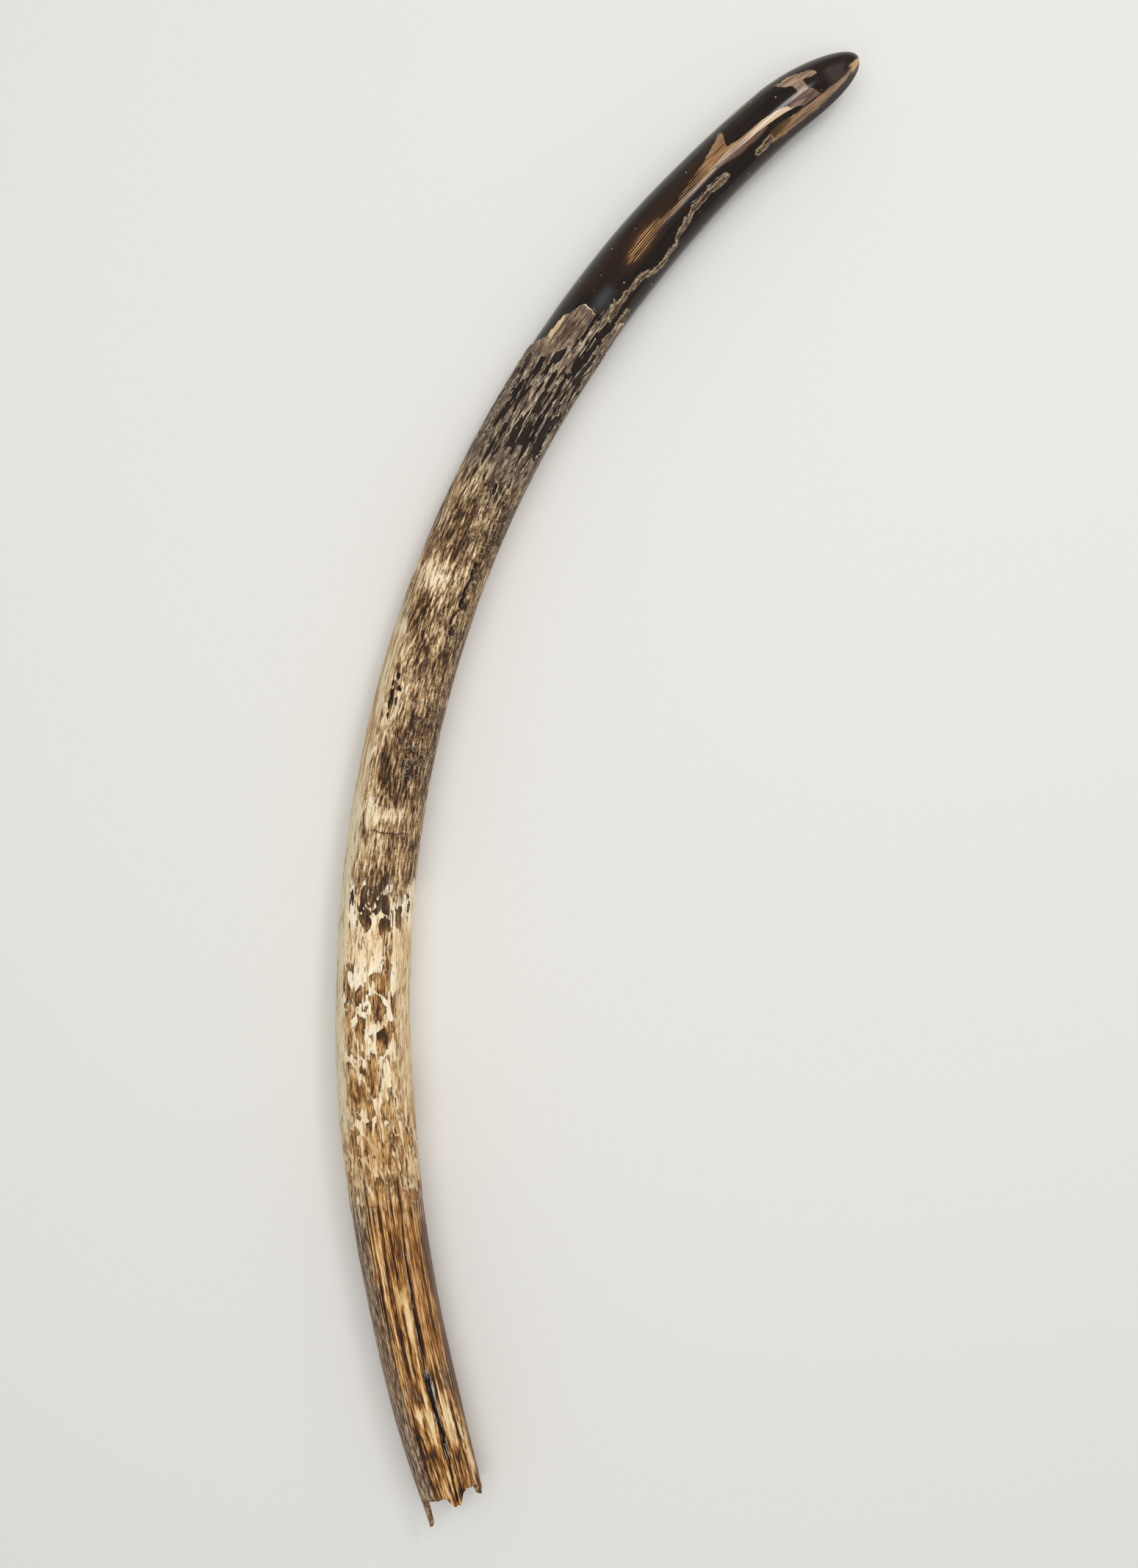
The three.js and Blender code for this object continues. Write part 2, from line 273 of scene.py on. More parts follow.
uv_layer.data.foreach_set("uv", uv.astype(np.float32).ravel())


def placed(name, data):
    """A new object in the scene."""
    made = bpy.data.objects.new(name, data)
    bpy.context.scene.collection.objects.link(made)
    return made


tusk = placed("tusk_fossil", tusk_mesh)


class Wire:
    """A socket that takes part in sums, so that a pattern reads as an expression."""

    def __init__(self, bench, socket):
        self.bench, self.socket = bench, socket

    def maths(self, operation, *others):
        return self.bench.node("ShaderNodeMath", {"operation": operation}, [self, *others])

    def __add__(self, other):
        return self.maths("ADD", other)

    def __sub__(self, other):
        return self.maths("SUBTRACT", other)

    def __rsub__(self, other):
        return self.bench.node("ShaderNodeMath", {"operation": "SUBTRACT"}, [other, self])

    def __mul__(self, other):
        return self.maths("MULTIPLY", other)

    def __truediv__(self, other):
        return self.maths("DIVIDE", other)

    def __neg__(self):
        return self.maths("MULTIPLY", -1.0)

    def __abs__(self):
        return self.maths("ABSOLUTE")

    __radd__, __rmul__ = __add__, __mul__

    def least(self, other):
        return self.maths("MINIMUM", other)

    def most(self, other):
        return self.maths("MAXIMUM", other)


class Bench:
    """Makes nodes in one tree, a shader's or a Geometry Nodes one."""

    def __init__(self, tree):
        self.tree = tree

    def node(self, kind, settings=None, inputs=(), out=0):
        """A node of a kind, with its settings made first and then the values or links of its sockets."""
        made = self.tree.nodes.new(kind)
        for name, value in (settings or {}).items():
            if name == "stops":
                self.set_stops(made.color_ramp, value)
            elif name == "curve":
                self.set_curve(made.mapping, value)
            else:
                setattr(made, name, value)
        named = inputs.items() if isinstance(inputs, dict) else enumerate(inputs)
        for key, value in named:
            socket = made.inputs[key]
            if isinstance(value, Wire):
                self.tree.links.new(value.socket, socket)
            else:
                socket.default_value = value
        return Wire(self, made.outputs[out]) if made.outputs else None

    @staticmethod
    def set_stops(ramp, stops):
        for place, colour in stops[1:-1]:
            ramp.elements.new(place).color = (*colour, 1)
        ends = zip((ramp.elements[0], ramp.elements[-1]), (stops[0], stops[-1]))
        for element, (place, colour) in ends:
            element.position, element.color = place, (*colour, 1)

    @staticmethod
    def set_curve(mapping, places):
        line = mapping.curves[0]
        line.points[0].location, line.points[-1].location = places[0], places[-1]
        for place in places[1:-1]:
            line.points.new(*place)
        for point in line.points:
            point.handle_type = "VECTOR"
        mapping.update()

    def split(self, vector):
        """The three parts of a vector."""
        first = self.node("ShaderNodeSeparateXYZ", {}, [vector])
        return [Wire(self, socket) for socket in first.socket.node.outputs]

    def step(self, value, low, high):
        """0 below low and 1 above high, smooth between."""
        return self.node("ShaderNodeMapRange", {"interpolation_type": "SMOOTHSTEP"},
                         {"Value": value, "From Min": low, "From Max": high})

    def fall(self, value, low, high):
        """1 below low and 0 above high, smooth between."""
        return 1 - self.step(value, low, high)

    def band(self, value, low, high, soft):
        """1 between low and high, and 0 outside them."""
        return self.step(value, low - soft, low + soft) * self.fall(value, high - soft, high + soft)

    def drawn_out(self, vector, along, across, seed):
        """The grain drawn out, so that one unit is so many millimetres, and moved away by a seed."""
        drawn = self.node("ShaderNodeVectorMath", {"operation": "MULTIPLY"},
                          [vector, (1 / along, 1 / across, 1 / across)])
        return self.node("ShaderNodeVectorMath", {"operation": "ADD"},
                         [drawn, (seed, seed * 1.7, -seed * 0.6)])

    def noise(self, vector, along, across, detail=2.0, roughness=0.5, distortion=0.0, seed=0.0):
        return self.node("ShaderNodeTexNoise", {"noise_dimensions": "3D"},
                         {"Vector": self.drawn_out(vector, along, across, seed), "Scale": 1.0,
                          "Detail": detail, "Roughness": roughness, "Distortion": distortion})

    def cells(self, vector, along, across, feature="F1", seed=0.0):
        return self.node("ShaderNodeTexVoronoi", {"voronoi_dimensions": "3D", "feature": feature},
                         {"Vector": self.drawn_out(vector, along, across, seed), "Scale": 1.0,
                          "Randomness": 1.0})

    def ramp(self, value, *stops):
        """A value turned into a colour, as stops of (value, colour)."""
        return self.node("ShaderNodeValToRGB", {"stops": stops}, [value])

    def mix(self, share, under, over):
        """Two colours mixed."""
        under, over = (value if isinstance(value, Wire) else (*value, 1) for value in (under, over))
        return self.node("ShaderNodeMix", {"data_type": "RGBA"}, {0: share, 6: under, 7: over}, out=2)


# Marks are placed in plan: units of 0.65 mm along from the mean rim, and across from the middle line, with
# the bowed side negative. The ridge stands nearer to the eye than the outline does, so its marks spread out.
PLAN_UNIT = 0.65
SPREAD = ((0, 460, 770, 1077, 1385, 1700, 2000, 2150), (-14.5, -11.5, -5.7, 0.5, 6.0, 9.7, 15.0, 16.2))
LEAN = ((0, 1400, 1850, 2150), (5.0, 4.5, 7.0, 9.0))
PLAN_HALF_WIDTH = 45


def mark(along, across):
    """Millimetres along and towards the bowed side for a mark seen in plan."""
    edge = 1 - 0.7 * (across / PLAN_HALF_WIDTH) ** 2
    spread = float(np.interp(along, *SPREAD)) * max(0.3, edge)
    lean = float(np.interp(along, *LEAN)) * edge
    return (along - spread) * PLAN_UNIT, -(across + lean) * PLAN_UNIT


class Surface:
    """Where a point lies on the straightened tusk, and how to place marks on it."""

    def __init__(self, bench, grain):
        b = self.b = bench
        self.grain = grain
        self.along, self.up, self.side = b.split(grain)
        self.turn = b.node("ShaderNodeMath", {"operation": "ARCTAN2"}, [self.side, self.up]) * (180 / math.pi)
        self.top = b.step(self.up, -3, 3)
        # Outlines wander a little, more along the grain than across it.
        self.drift = self.noise(14, 3.2, detail=3, roughness=0.65, seed=3.1) - 0.5
        self.drift_across = self.noise(11, 3.6, detail=3, roughness=0.6, seed=7.7) - 0.5
        self.slow = self.noise(60, 14, detail=3, roughness=0.6, seed=9.3) - 0.5
        self.along_w = self.along + self.drift * 14
        self.side_w = self.side + self.drift_across * 7
        self.spot = b.node("ShaderNodeCombineXYZ", {}, [self.along_w, self.side_w, 0.0])

    def noise(self, along, across, **more):
        return self.b.noise(self.grain, along, across, **more)

    def blots(self, places, soft=0.3):
        """Blots added up, as (along, across, half length, half width, amount) in plan."""
        b = self.b
        total = None
        for along, across, half_long, half_wide, *amount in places:
            at, off = mark(along, across)
            scale = (1 / (half_long * PLAN_UNIT), 1 / (half_wide * PLAN_UNIT), 1.0)
            moved = b.node("ShaderNodeVectorMath", {"operation": "MULTIPLY_ADD"},
                           [self.spot, scale, (-at * scale[0], -off * scale[1], 0.0)])
            reach = b.node("ShaderNodeVectorMath", {"operation": "LENGTH"}, [moved], out=1)
            here = b.node("ShaderNodeMapRange", {"interpolation_type": "SMOOTHSTEP"},
                          {"Value": reach, "From Min": 1 - soft / 2, "From Max": 1 + soft / 2,
                           "To Min": amount[0] if amount else 1.0, "To Max": 0.0})
            total = here if total is None else total + here
        return total * self.top

    def share_of(self, walked, marks):
        """How far from the first mark to the last one, from 0 to 1."""
        return self.b.node("ShaderNodeMapRange", {},
                           {"Value": walked, "From Min": marks[0][0], "From Max": marks[-1][0]})

    def route(self, share, marks):
        """Side of a route through marks at each share of its length."""
        start, end = marks[0][0], marks[-1][0]
        points = [((at - start) / (end - start), (off + 40) / 80) for at, off in marks]
        return self.b.node("ShaderNodeFloatCurve", {"curve": points}, {"Value": share}) * 80 - 40

    def line(self, places, half_width, wobble=0.0):
        """Millimetres inside a streak that runs through places in plan, negative outside it."""
        marks = [mark(*place) for place in places]
        share = self.share_of(self.along, marks)
        away = abs(self.side - self.route(share, marks) + self.drift_across * wobble)
        walked = self.along + self.drift * wobble * 2
        ends = (walked - marks[0][0]).least(marks[-1][0] - walked)
        return (half_width - away).least(ends).least(self.up)

    def between(self, places, wobble=0.0):
        """Millimetres inside a field between two lines, as (along, bowed side, inner side) in plan."""
        bowed = [mark(along, one) for along, one, other in places]
        inner = [mark(along, other) for along, one, other in places]
        walked = self.along + self.drift * wobble
        share = self.share_of(walked, bowed)
        off = self.side + self.drift_across * wobble
        inside = (self.route(share, bowed) - off).least(off - self.route(share, inner))
        return inside.least((walked - bowed[0][0]).least(bowed[-1][0] - walked)).least(self.up)


# ---- Bark that has flaked away ----
# Pits through the bark: along, across, half length and half width in plan, first those in the whole bark.
EARLY_PITS = [
    (1106, -25, 9, 3.2), (1092, -27, 7, 2.2), (1113, -19, 5, 3), (1129, -23, 6, 2.2), (1120, -29, 6, 1.8),
    (1098, -19, 5, 1.8), (1080, -24, 5, 1.6),
]
PITS = [
    (1486, -2, 16, 3.5), (1484, 6, 14, 4), (1494, 12, 16, 4), (1480, 19, 16, 2), (1488, -18, 18, 3),
    (1505, -30, 14, 1.5), (1424, 17, 22, 2.6), (1405, 10, 16, 2.4), (1440, 24, 16, 2), (1605, -19, 6, 2.5),
    (1664, 25, 44, 2.5), (1560, 5, 24, 1.2), (1600, 20, 34, 1.4), (1535, -34, 16, 1.2), (1625, 8, 20, 1.3),
    (1530, 32, 40, 1.6), (1585, 36, 30, 1.6), (1500, 29, 22, 2),
]
# Smooth scale of bark that is still whole beside the ledge: along, bowed side and inner side in plan.
WHOLE_SCALE = [(1598, -44, -20), (1625, -42, -5), (1645, -40, 4), (1695, -40, 6)]
# Last bark before the bare tip: its top edge as (across, along) in plan, then the hidden round as (turn, mm).
LEDGE_TOP = [
    (-38, 1616), (-32, 1625), (-30, 1650), (-28, 1664), (-24, 1668), (-20, 1682), (-17, 1690), (-16, 1692),
    (5, 1690), (6, 1640), (8, 1640), (9, 1712), (15, 1716), (16, 1690), (19, 1700), (22, 1690), (24, 1690),
    (26, 1660), (30, 1665), (34, 1700), (40, 1705),
]
LEDGE_BELOW = [(180, 1052), (150, 1088), (125, 1066), (100, 1046), (82, 1040)]
LEDGE_BELOW_INNER = [(-80, 1090), (-100, 1050), (-125, 1064), (-150, 1100), (-180, 1052)]
LEDGE_FROM, LEDGE_TO = 1020.0, 1130.0
LEDGE_RADIUS = 28.8
# Ribbons of bark on the bare tip: places in plan and half width in millimetres.
RIBBONS = [
    ([(1690, 22), (1740, 19.5), (1768, 21), (1782, 25)], 2.0),
    ([(1778, 28), (1800, 31), (1842, 27)], 1.2),
    ([(1838, 25), (1850, 21), (1872, 19), (1884, 14), (1920, 13), (1957, 15)], 2.0),
    ([(1600, 14), (1660, 13.5), (1722, 15)], 1.5),
    ([(2003, 20), (2036, 17)], 2.2),
    ([(1690, 36), (1724, 34)], 1.8),
]


def ledge(surface):
    """Millimetres short of the ragged last edge of the bark, negative past it."""
    b = surface.b
    run = LEDGE_TO - LEDGE_FROM
    points = []
    for across, along in LEDGE_TOP:
        at, off = mark(along, across)
        points.append((math.degrees(math.asin(max(-1, min(1, off / LEDGE_RADIUS)))), at))
    points = sorted(points + LEDGE_BELOW + LEDGE_BELOW_INNER)
    points = [((turn + 180) / 360, (distance - LEDGE_FROM) / run) for turn, distance in points]
    edge = b.node("ShaderNodeFloatCurve", {"curve": points}, {"Value": (surface.turn + 180) / 360})
    chips = surface.noise(4, 2.4, detail=3, roughness=0.6, seed=21.0) - 0.5
    return edge * run + LEDGE_FROM + chips * 7 - surface.along


def ribbons(surface):
    """Millimetres inside the ribbons of bark that run on over the bare tip."""
    frayed = surface.noise(8, 1.6, detail=2, seed=23.0) - 0.5
    swell = surface.noise(11, 9, detail=1, seed=25.0) - 0.5
    return reduce(Wire.most, (surface.line(places, half_width, wobble=3.2) + frayed * 2.0 + swell * 4.0
                              for places, half_width in RIBBONS))


def wear(surface):
    """How much thicker than its loss the bark is, roughly from -0.2, gone, to 0.3, whole."""
    b = surface.b
    lenses = surface.noise(24, 2.8, detail=1.5, roughness=0.5, distortion=0.1, seed=11.0)
    lumps = surface.noise(46, 6.0, detail=2, seed=5.0)
    middle = b.step(surface.up, 2, 22)
    loss = 0.27 + b.step(surface.along, 870, 945) * 0.12 + b.step(surface.along, 930, 965) * 0.09
    inner = b.band(surface.side, -25, 3, 4) * b.step(surface.along, 925, 960) * surface.top
    worn = lenses * 0.85 + lumps * 0.15 - loss + (1 - middle) * 0.06 - inner * 0.02
    worn = worn + b.step(surface.between(WHOLE_SCALE, wobble=3.0), -0.8, 0.8) * 0.35
    worn = worn - surface.blots(EARLY_PITS, soft=1.0).least(1.0) * 0.45
    return worn - surface.blots(PITS, soft=1.3).least(1.0) * 0.14


# ---- Brown skin that is left on the ivory ----
# Islands of skin, and ivory bared inside them, as places in plan.
SKIN = [
    (577, -4, 16, 8), (622, 2, 19, 10), (639, 19, 7, 9), (652, 7, 20, 20), (690, 0, 26, 14), (670, 23, 17, 5),
    (706, 18, 18, 3), (612, -30, 10, 5), (636, -31, 6, 5), (657, -32, 9, 4), (688, -26, 17, 7),
    (714, -33, 9, 3), (645, -21, 9, 3), (551, 14, 18, 9), (502, 10, 14, 7), (510, -3, 9, 5), (548, -3, 14, 5),
    (491, 25, 13, 8), (470, -10, 12, 9), (486, -2, 9, 5), (585, 31, 14, 2), (760, -29, 6, 3),
    (770, 18, 20, 4),
    (808, -16, 12, 8), (830, -14, 22, 7), (829, -1, 19, 6), (822, 15, 14, 7), (803, 29, 16, 3.5),
    (838, 32, 10, 3), (822, 39, 18, 1.5), (796, -4, 3, 3), (798, 11, 5, 3), (745, 9, 4, 2), (590, -20, 14, 4),
    (535, -22, 24, 10), (840, -30, 18, 3), (498, -8, 44, 20, 0.7), (560, -12, 30, 16, 0.3),
    (455, 6, 24, 26, 0.5), (474, -2, 18, 20, 0.8), (492, 14, 14, 10, 0.8), (602, -12, 16, 9, 0.7),
    (648, -6, 14, 12, 0.7), (772, 4, 12, 12, 0.6), (790, 12, 12, 8, 0.7), (786, -8, 8, 6, 0.7),
]
BARED = [
    (586, 14, 17, 6), (538, 20, 10, 5), (626, 24, 16, 4), (520, 9, 5, 6), (758, -4, 27, 15), (480, 10, 6, 4),
]
# Stretches stained darker or worn more golden, with the amount.
SKIN_TONES = [
    (662, 12, 34, 14, -0.06), (505, 12, 12, 20, -0.07), (545, -3, 34, 22, 0.03), (450, 0, 44, 30, -0.05),
    (520, -28, 60, 10, -0.05), (610, 5, 14, 20, 0.02), (640, -25, 30, 8, 0.03), (476, 0, 18, 26, -0.09),
    (602, 0, 14, 24, -0.05), (645, 5, 16, 20, -0.03), (822, 0, 18, 26, -0.07),
]


def islands(surface):
    """Millimetres inside the brown skin left on the ivory, negative on the ivory."""
    b = surface.b
    bend = b.node("ShaderNodeCombineXYZ", {},
                  [surface.drift * 18, surface.drift_across * 8, surface.drift * 6])
    bent = b.node("ShaderNodeVectorMath", {"operation": "ADD"}, [surface.grain, bend])
    small = b.cells(bent, 16, 7.5, feature="DISTANCE_TO_EDGE", seed=44.0) * 8 - 0.5
    large = b.cells(bent, 36, 13, feature="DISTANCE_TO_EDGE", seed=46.0) * 14 - 0.6
    luck = surface.noise(24, 9, detail=2, roughness=0.5, seed=43.0)
    early = b.fall(surface.along_w, 340, 385)
    veined = small * early + large * (1 - early) - b.step(luck, 0.50, 0.62) * 0.9
    kept = surface.blots(SKIN, soft=0.9).least(1.0) - surface.blots(BARED, soft=0.9)
    zone = b.step(surface.along + surface.slow * 60, 255, 275) * b.fall(surface.along_w, 548, 575)
    middle = b.band(surface.along_w, 350, 482, 10)
    wanted = early * 1.1 + middle * 0.3 + 0.28 + (0.5 - luck) * 1.8 + kept * 1.2 - (1 - zone) * 3
    thin = b.step(abs(surface.turn - 4), 40, 60) * 0.25
    fringe = surface.noise(9, 1.2, detail=2, seed=47.0) - 0.5
    return veined.least((wanted - 0.5 - thin) * 4.5) + fringe * 2.6


# ---- Cracks, root and bark ----
# The long drying crack from the root, its wide part, and a short ragged one further on, in plan.
CRACK = [(-8, 5), (50, 11), (100, 11), (150, 10), (200, 12), (250, 13), (300, 14.5), (345, 16), (382, 18)]
CRACK_BELLY = [(75, 12), (100, 12), (130, 11), (165, 12.5)]
SHORT_CRACK = [(1203, 26), (1222, 23), (1240, 26), (1262, 26), (1290, 27), (1312, 26)]
# Dull grey-brown spots on the striped root, cream patches worn bright, and near-black ones.
DULL_SPOTS = [(30, -30, 34, 10), (165, 33, 24, 6, 0.5), (152, -12, 24, 10, 0.45), (205, -12, 16, 5, 0.4)]
ROOT_CREAM = [
    (100, 22, 38, 5, 1.4), (117, 1, 36, 4, 1.2), (104, -11, 28, 3.5), (126, -11, 12, 5), (80, 35, 60, 1.6),
    (230, 22, 30, 3, 0.4), (260, 4, 45, 4, 0.3), (330, -18, 50, 4, 0.6), (300, 23, 26, 3, 0.4),
    (426, 0, 20, 22, 0.6),
]
ROOT_DARK = [
    (160, 13, 22, 6), (95, 12, 34, 3), (50, -30, 40, 7), (90, 30, 50, 1.5), (20, 8, 26, 3),
    (60, -12, 44, 8, 0.6),
]
# Clouds in the colour of the fibrous bark, lighter or darker: place, size and amount.
CLOUDS = [
    (1120, -25, 68, 20, 0.075), (1275, -18, 17, 30, 0.11), (945, -16, 17, 24, 0.15), (1000, -30, 40, 8, 0.09),
    (1455, -24, 24, 12, 0.07), (1400, -18, 30, 8, 0.03), (1300, 15, 50, 8, 0.03), (955, 20, 20, 10, 0.04),
    (1012, 4, 58, 20, -0.07), (1080, 18, 26, 12, -0.05), (834, 0, 34, 22, -0.10), (1225, -22, 26, 16, -0.05),
    (1345, -8, 45, 30, -0.045), (1420, 14, 30, 10, -0.05), (1160, 35, 300, 14, -0.05),
    (1370, 34, 70, 10, -0.06),
]


def crack(surface):
    """Millimetres inside the long crack or the short one."""
    closed = surface.b.fall(surface.noise(9, 4, detail=2, seed=57.0), 0.42, 0.54) * 1.5
    long_one = surface.line(CRACK, 0.85, wobble=1.8)
    belly = surface.line(CRACK_BELLY, 1.5, wobble=3.4)
    short_one = surface.line(SHORT_CRACK, 1.5, wobble=4.6) - closed * 1.2
    return long_one.most(belly).most(short_one)


def stripes(surface):
    """Broad and narrow stripes along the grain, around 0.5."""
    broad = surface.noise(150, 3.3, detail=2, roughness=0.5, seed=61.0)
    narrow = surface.noise(46, 1.6, detail=3, roughness=0.6, seed=63.0)
    thin = surface.noise(14, 0.75, detail=3, roughness=0.6, seed=65.0)
    return broad * 0.45 + narrow * 0.35 + thin * 0.2


def root_dulling(surface):
    """1 where the striped root has gone grey-brown, on the bowed flank and in spots."""
    b = surface.b
    flank = b.step(surface.turn + surface.slow * 60, 26, 38) * b.fall(surface.turn, 150, 175)
    spots = b.step(surface.noise(42, 12, detail=3, roughness=0.6, seed=87.0), 0.55, 0.62) * 0.3
    return flank.most(spots).most(surface.blots(DULL_SPOTS))


def margin(surface):
    """1 on the smooth pale flank of the bowed side, over the middle of the length."""
    b = surface.b
    turned = surface.turn + surface.slow * 50 + surface.drift * 20
    flank = b.step(turned, 40, 50) * b.fall(surface.turn, 130, 170)
    at = surface.along + surface.slow * 50 + surface.drift * 16
    return flank * b.band(at, 340, 792, 20)


# Lighter ivory worn through on the bare tip, as fields between two lines in plan, and their edges' wobble.
# The sheen is a dull spot with a painted reflection on it, and the band is a tan stripe with a painted
# highlight.
TIP_MARKS = {
    "warm": ([[(1700, -36, -14), (1800, -36, -8), (1900, -32, 0), (1970, -28, 0)]], 8.0),
    "striped": ([[(1770, -6, -2), (1784, -13, 3), (1806, -17, 4), (1826, -16, 0), (1846, -11, -5)]], 4.0),
    "sheen": ([[(1698, -5, 3), (1712, -7, 7), (1728, -4, 3)]], 3.0),
    "thread": ([[(1815, -8, -1), (1880, -8, -1), (1950, -9, -1)]], 0.5),
    "wedge": ([[(1882, -11, -3), (1910, -14, -3), (1935, -18, -4), (1958, -23, -4), (1972, -28, -5),
                (1984, -33, -29)],
               [(1960, -13, -4), (1980, -12, -5), (2000, -8, -6)]], 3.0),
    "band": ([[(1938, -9, -5), (1985, -9, -1), (2040, -7, 2), (2070, -2, 5), (2100, 7, 10)]], 0.8),
    "shade": ([[(1952, -3, 0), (1985, -2, 7), (2025, 1, 7), (2040, 2, 5)]], 1.5),
    "worn_flank": ([[(2030, 22, 24), (2060, 14, 25), (2110, 15, 28), (2170, 13, 23), (2190, 8, 14)]], 2.5),
    "chip": ([[(2080, -30, -26), (2098, -30, -16), (2128, -24, -14), (2136, -18, -14)],
              [(2098, -20, 0), (2113, -20, 0)]], 4.0),
    "foot": ([[(2078, -1, 4), (2098, -5, 13), (2116, -2, 14), (2124, 8, 13)]], 6.0),
    "olive": ([[(2033, 12, 19), (2050, 10, 22), (2072, 12, 18)]], 2.0),
}


# ---- Relief, as Geometry Nodes: every point moves out or in along the way out from the axis ----
relief = bpy.data.node_groups.new("bark_relief", "GeometryNodeTree")
for way in ("INPUT", "OUTPUT"):
    relief.interface.new_socket("Geometry", in_out=way, socket_type="NodeSocketGeometry")
RELIEF_SIZES = {
    "Bark thickness": BARK_THICKNESS, "Flute depth": 1.1, "Crack depth": 3.0, "Island height": 0.5,
    "Stripe height": 3.0, "Grain depth": 0.45, "Ground height": GROUND_FLAT,
}
relief_inputs = {}
for name, value in RELIEF_SIZES.items():
    socket = relief.interface.new_socket(name, in_out="INPUT", socket_type="NodeSocketFloat")
    socket.default_value = value
    relief_inputs[name] = socket.identifier
bench = Bench(relief)
shape = bench.node("NodeGroupInput")
size = {name: Wire(bench, shape.socket.node.outputs[name]) for name in RELIEF_SIZES}


def point_value(name, kind="FLOAT"):
    return bench.node("GeometryNodeInputNamedAttribute", {"data_type": kind}, {"Name": name})


surface = Surface(bench, point_value("grain", "FLOAT_VECTOR"))
# Every pattern is kept as a value on the points, for the relief here and for the finish.
PATTERNS = {
    "edge": ledge(surface), "ribbon": ribbons(surface), "wear": wear(surface), "island": islands(surface),
    "crack": crack(surface), "cloud": surface.blots(CLOUDS, soft=1.2), "root_dull": root_dulling(surface),
    "root_cream": surface.blots(ROOT_CREAM, soft=0.9), "root_dark": surface.blots(ROOT_DARK, soft=1.0),
    "margin": margin(surface), "skin_tone": surface.blots(SKIN_TONES, soft=1.2), "drift": surface.drift,
    "drift_across": surface.drift_across, "slow": surface.slow,
}
for name, (fields, wobble) in TIP_MARKS.items():
    PATTERNS[name] = reduce(Wire.most, (surface.between(places, wobble) for places in fields))
for name, value in PATTERNS.items():
    shape = bench.node("GeometryNodeStoreNamedAttribute", {"data_type": "FLOAT", "domain": "POINT"},
                       {"Geometry": shape, "Name": name, "Value": value})
barked = bench.step(point_value("edge"), -0.4, 0.4)
unworn = bench.step(point_value("wear"), -0.012, 0.012)
covered = (barked * unworn).most(bench.step(point_value("ribbon"), -0.4, 0.4) * 0.93)
flutes = surface.noise(260, 9, detail=2, seed=71.0) - 0.5
fine_grain = surface.noise(26, 1.9, detail=3, roughness=0.6, seed=73.0) - 0.5
flaky = bench.step(surface.along, 800, 940)
rough_bark = surface.noise(9, 2.6, detail=3, roughness=0.65, seed=75.0) - 0.5
rise = size["Bark thickness"] * covered
rise = rise + size["Flute depth"] * flutes * barked
rise = rise + size["Stripe height"] * (stripes(surface) - 0.5) * bench.fall(surface.along, 260, 330)
rise = rise + size["Grain depth"] * (fine_grain + flaky * 2.4 * rough_bark) * covered
rise = rise + size["Island height"] * bench.step(point_value("island"), -0.3, 0.3)
rise = rise - size["Crack depth"] * bench.step(point_value("crack"), -0.9, 0.5)
offset = bench.node("ShaderNodeVectorMath", {"operation": "SCALE"},
                    {"Vector": point_value("outward", "FLOAT_VECTOR"),
                     "Scale": rise * point_value("relief_share") * MM})
moved = bench.node("GeometryNodeSetPosition", {}, {"Geometry": shape, "Offset": offset})
# The underside is pressed flat where it would go through the ground.
place_x, place_y, level = bench.split(bench.node("GeometryNodeInputPosition"))
on_ground = bench.node("ShaderNodeMath", {"operation": "LESS_THAN"}, [level, size["Ground height"] * MM])
pressed = bench.node("ShaderNodeCombineXYZ", {}, [place_x, place_y, level * (1 - on_ground)])
grounded = bench.node("GeometryNodeSetPosition", {}, {"Geometry": moved, "Position": pressed})
realized = bench.node("GeometryNodeRealizeInstances", {}, [grounded])
finished = bench.node("GeometryNodeSetMaterial", {}, {"Geometry": realized})
bench.node("NodeGroupOutput", {}, [finished])

# ---- Finish ----
ivory = bpy.data.materials.new("fossil_ivory")
ivory.use_nodes = True
ivory.node_tree.nodes.clear()
b = Bench(ivory.node_tree)


def tint(red, green, blue):
    """A colour as it looks, 0 to 255, turned into the linear values that a shader takes."""
    return tuple(((value / 255 + 0.055) / 1.055) ** 2.4 for value in (red, green, blue))


BLACK = tint(24, 17, 14)
PITCH = tint(36, 26, 20)
UMBER = tint(64, 42, 24)
BROWN = tint(116, 78, 42)
TAN = tint(166, 122, 72)
GOLD = tint(205, 166, 112)
CREAM = tint(240, 218, 176)
IVORY = tint(252, 242, 218)
PALE_OLIVE = tint(226, 212, 176)
OLIVE = tint(158, 134, 90)
GREY_BROWN = tint(106, 90, 72)
ASH = tint(152, 132, 104)
MAUVE = tint(104, 84, 72)
AMBER = tint(170, 110, 48)
BONE = tint(222, 206, 172)

# Where each colouring runs: from and to in plan, how soft its ends are and how far they wander, in mm.
STRETCHES = {
    "amber": (185, 600, 20, 30), "golden": (300, 612, 30, 60), "golden_again": (738, 792, 8, 10),
    "dark_skin": (790, 860, 8, 20), "dashes": (555, 870, 10, 20), "fissures": (945, 1500, 10, 40),
    "curls": (985, 1150, 12, 40), "curls_again": (1175, 1470, 12, 40), "stained": (985, 1200, 16, 40),
    "inner_cream": (535, 784, 14, 12), "patch": (1606, 1720, 6, 10), "gold_streak": (1622, 1672, 4, 0),
    "glint": (60, 350, 10, 10), "edge_tan": (1990, 2185, 14, 10), "end_tan_and_highlight": (2184, 2400, 2, 0),
    "end_sheen": (2146, 2176, 6, 0),
}


class Coat:
    """A colour, with others laid over it one after another."""

    def __init__(self, colour):
        self.colour = colour

    def lay(self, share, over):
        self.colour = b.mix(share, self.colour, over)


def pattern(name):
    """A pattern that is kept on the points."""
    return b.node("ShaderNodeAttribute", {"attribute_name": name}, out=2)


